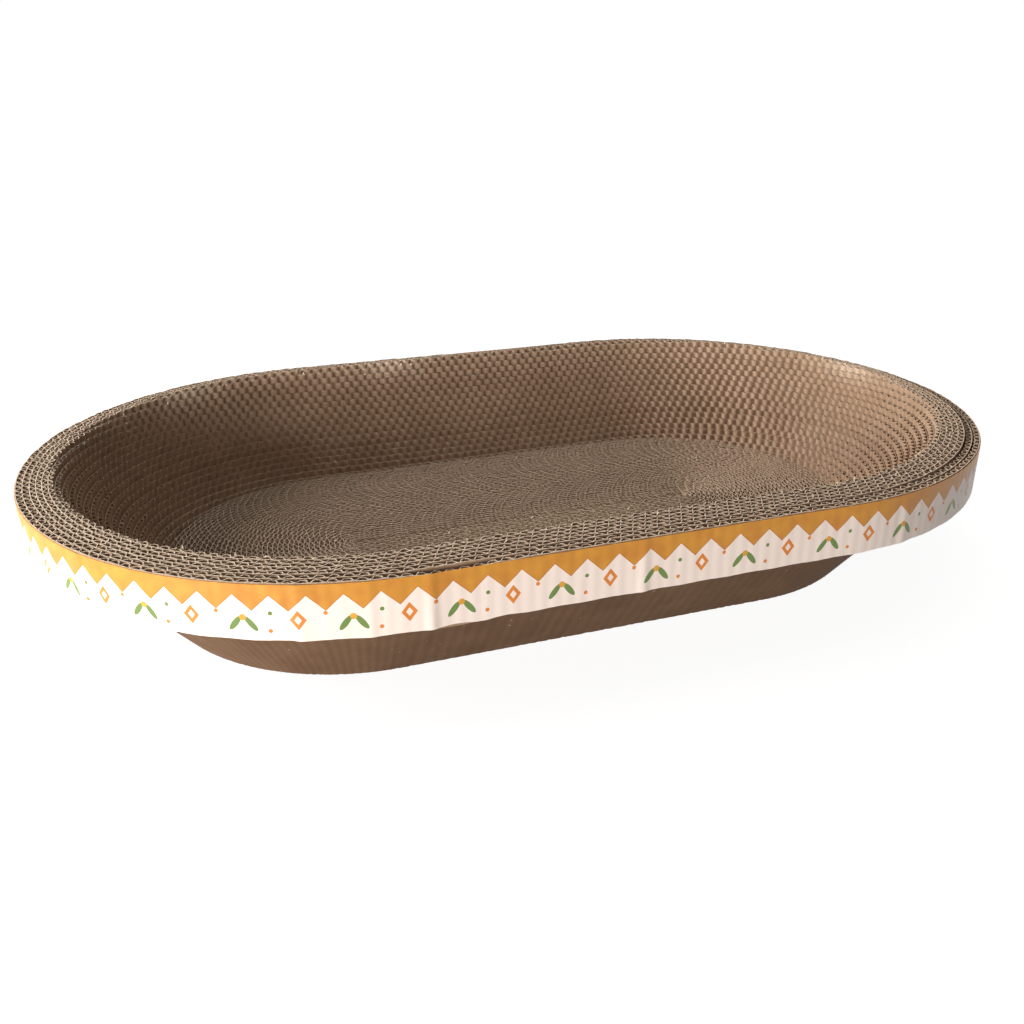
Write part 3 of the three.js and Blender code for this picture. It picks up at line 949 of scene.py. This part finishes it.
class SCRATCHER_OT_scatter_shreds(bpy.types.Operator):
    """Scatters torn shreds of paper along the cut edges"""

    bl_idname = "scratcher.scatter_shreds"
    bl_label = "Scatter shreds"

    def execute(self, context):
        settings = context.scene.scratcher
        shreds, rim = settings.shreds, settings.turns.rim
        random = np.random.default_rng(SEED + 50)
        path = WoundPath(settings)
        share = random.uniform(0.0, 1.0, shreds.rim_count)
        rim_turn = (rim_width(oval_place(share * AROUND)[2]) - path.inset(share)) / path.room(share)
        near_edge = np.maximum(np.round(rim_turn + random.uniform(-1.2, 1.2, len(share))), 0) + share
        on_rim = random.uniform(0.0, rim, shreds.rim_count // 2)
        in_bowl = random.uniform(rim, path.last, shreds.floor_count // 4)
        foot = path.spans["floor_winding_inner"][0]
        frayed_turn = np.floor(random.uniform(foot, path.last, shreds.floor_count))
        frayed = frayed_turn + random.uniform(0.29, 0.5, shreds.floor_count)
        sheets = []
        for turn in np.concatenate((near_edge, on_rim, in_bowl, frayed)):
            length = shreds.longest * random.uniform(0.35, 1.0)
            half_width = random.uniform(0.2, 0.6) * MM
            inset = path.inset(turn) + random.uniform(0.2, settings.board.thickness / MM) * MM
            root = Vector(oval_point(turn * AROUND, inset, path.top(turn) - 0.3 * MM))
            heading = random.uniform(0, 2 * math.pi)
            lift, curl = random.uniform(0.2, 1.2), random.uniform(-1.4, 0.4)
            rings = self.shred_rings(root, length, half_width, heading, lift, curl)
            values = {"tone": 0.5, "fresh": random.uniform(0.4, 1.0)}
            sheets.append(Sheet(rings, (0, 1, 2, 3), values))
        piece = swept_object("paper_shreds", sheets, strip_materials(settings.colours))
        settle(piece, SLOTS["rim_winding"])
        return {"FINISHED"}

    def shred_rings(self, root, length, half_width, heading, lift, curl):
        """Cross-sections of one shred, which narrows and curls from its root."""
        steps, half_thickness = 4, 0.05 * MM
        side = Vector((-math.sin(heading), math.cos(heading), 0.0))
        rings, point = [], root
        for step in range(steps + 1):
            pitch = lift + curl * step / steps
            level = math.cos(pitch)
            ahead = Vector((math.cos(heading) * level, math.sin(heading) * level, math.sin(pitch)))
            across = side * half_width * (1.0 - 0.15 * step)
            up = across.cross(ahead).normalized() * half_thickness
            corners = ((-1, 1), (-1, -1), (1, -1), (1, 1))
            rings.append([point + across * x + up * z for x, z in corners])
            point = point + ahead * length / steps
        return np.array(rings)


class SCRATCHER_OT_set_stage(bpy.types.Operator):
    """Sets a pale floor, soft light from the left and the camera"""

    bl_idname = "scratcher.set_stage"
    bl_label = "Set the stage"

    def execute(self, context):
        settings = context.scene.scratcher
        stage = settings.stage
        context.scene.view_settings.view_transform = "Standard"
        self.lay_floor(context, settings.colours)
        self.light_sky(context, stage)
        for name, (place, size) in LAMPS.items():
            self.hang_lamp(context, f"{name}_lamp", getattr(stage, f"{name}_power"), place, size)
        camera = bpy.data.objects.new("photo_camera", bpy.data.cameras.new("photo_camera"))
        camera.data.lens, camera.data.sensor_width = stage.lens, 36.0
        camera.data.shift_x, camera.data.shift_y = stage.shift_x, stage.shift_y
        camera.data.clip_start = 10 * MM
        across, level = math.sin(stage.azimuth), math.cos(stage.elevation)
        away = Vector((across * level, -math.cos(stage.azimuth) * level, math.sin(stage.elevation)))
        camera.location = away * stage.distance
        camera.rotation_euler = away.to_track_quat("Z", "Y").to_euler()
        context.scene.collection.objects.link(camera)
        context.scene.camera = camera
        return {"FINISHED"}

    def lay_floor(self, context, colours):
        """A large floor. To the camera it glows a little, so that it is white and keeps a soft shadow."""
        mesh = bpy.data.meshes.new("studio_floor")
        signs = ((-1, -1), (1, -1), (1, 1), (-1, 1))
        corners = [(x * FLOOR_REACH, y * FLOOR_REACH, -FLOOR_GAP) for x, y in signs]
        mesh.from_pydata(corners, [], [(0, 1, 2, 3)])
        floor = bpy.data.objects.new("studio_floor", mesh)
        context.scene.collection.objects.link(floor)
        material, tree, shader = new_material("Pale studio floor")
        shader.inputs["Base Color"].default_value = rgba(colours.floor)
        shader.inputs["Roughness"].default_value = 0.9
        seen = self.seen_directly(tree)
        lit = add_node(tree, "ShaderNodeMath", {0: seen, 1: FLOOR_GLOW}, operation="MULTIPLY")
        glow = add_node(tree, "ShaderNodeEmission", {"Strength": lit.outputs[0]})
        output = next(node for node in tree.nodes if node.type == "OUTPUT_MATERIAL")
        both = add_node(tree, "ShaderNodeAddShader", {0: shader.outputs["BSDF"], 1: glow.outputs["Emission"]})
        tree.links.new(both.outputs["Shader"], output.inputs["Surface"])
        mesh.materials.append(material)

    def seen_directly(self, tree):
        """1 for a ray from the camera, a mirror or glass, and 0 for other light."""
        path = add_node(tree, "ShaderNodeLightPath")
        mirrored = add_node(
            tree,
            "ShaderNodeMath",
            {0: path.outputs["Is Glossy Ray"], 1: path.outputs["Is Transmission Ray"]},
            operation="MAXIMUM",
        )
        return add_node(
            tree,
            "ShaderNodeMath",
            {0: path.outputs["Is Camera Ray"], 1: mirrored.outputs[0]},
            operation="MAXIMUM",
        ).outputs[0]

    def light_sky(self, context, stage):
        """White to the camera, and an even light of its own strength on the scratcher."""
        world = bpy.data.worlds.new("studio_sky")
        context.scene.world = world
        world.use_nodes = True
        tree = world.node_tree
        tree.nodes.clear()
        seen = self.seen_directly(tree)
        strength = add_node(
            tree, "ShaderNodeMapRange", {"Value": seen, "To Min": stage.sky, "To Max": 1.0}
        )
        white = (1.0, 1.0, 1.0, 1.0)
        sky = add_node(
            tree, "ShaderNodeBackground", {"Color": white, "Strength": strength.outputs["Result"]}
        )
        add_node(tree, "ShaderNodeOutputWorld", {"Surface": sky.outputs["Background"]})

    def hang_lamp(self, context, name, power, place, size):
        """A soft rectangular lamp that faces the bowl."""
        lamp = bpy.data.lights.new(name, "AREA")
        lamp.shape, lamp.energy = "RECTANGLE", power
        lamp.size, lamp.size_y = size
        hung = bpy.data.objects.new(name, lamp)
        hung.location = place
        hung.rotation_euler = Vector(place).to_track_quat("Z", "Y").to_euler()
        context.scene.collection.objects.link(hung)


class SCRATCHER_PT_panel(bpy.types.Panel):
    """Lists the steps that make the scratcher"""

    bl_idname = "SCRATCHER_PT_panel"
    bl_label = "Oval scratcher"
    bl_space_type = "VIEW_3D"
    bl_region_type = "UI"
    bl_category = "Scratcher"

    def draw(self, context):
        for step in STEPS:
            self.layout.operator(step.bl_idname)


GROUPS = (
    SCRATCHER_PG_board,
    SCRATCHER_PG_turns,
    SCRATCHER_PG_band,
    SCRATCHER_PG_shreds,
    SCRATCHER_PG_colours,
    SCRATCHER_PG_stage,
    SCRATCHER_PG_settings,
)
STEPS = (
    SCRATCHER_OT_wind_spiral,
    SCRATCHER_OT_wind_hoop,
    SCRATCHER_OT_wrap_band,
    SCRATCHER_OT_wrap_skirt,
    SCRATCHER_OT_scatter_shreds,
    SCRATCHER_OT_set_stage,
)
CLASSES = (*GROUPS, *STEPS, SCRATCHER_PT_panel)


def register():
    """Registers the classes and the settings."""
    for part in CLASSES:
        bpy.utils.register_class(part)
    bpy.types.Scene.scratcher = PointerProperty(type=SCRATCHER_PG_settings)


def unregister():
    """Takes away the settings and the classes."""
    del bpy.types.Scene.scratcher
    for part in reversed(CLASSES):
        bpy.utils.unregister_class(part)


def main():
    """Makes the scratcher step by step."""
    register()
    bpy.ops.scratcher.wind_spiral()
    bpy.ops.scratcher.wind_hoop()
    bpy.ops.scratcher.wrap_band()
    bpy.ops.scratcher.wrap_skirt()
    bpy.ops.scratcher.scatter_shreds()
    bpy.ops.scratcher.set_stage()


if __name__ == "__main__":
    main()
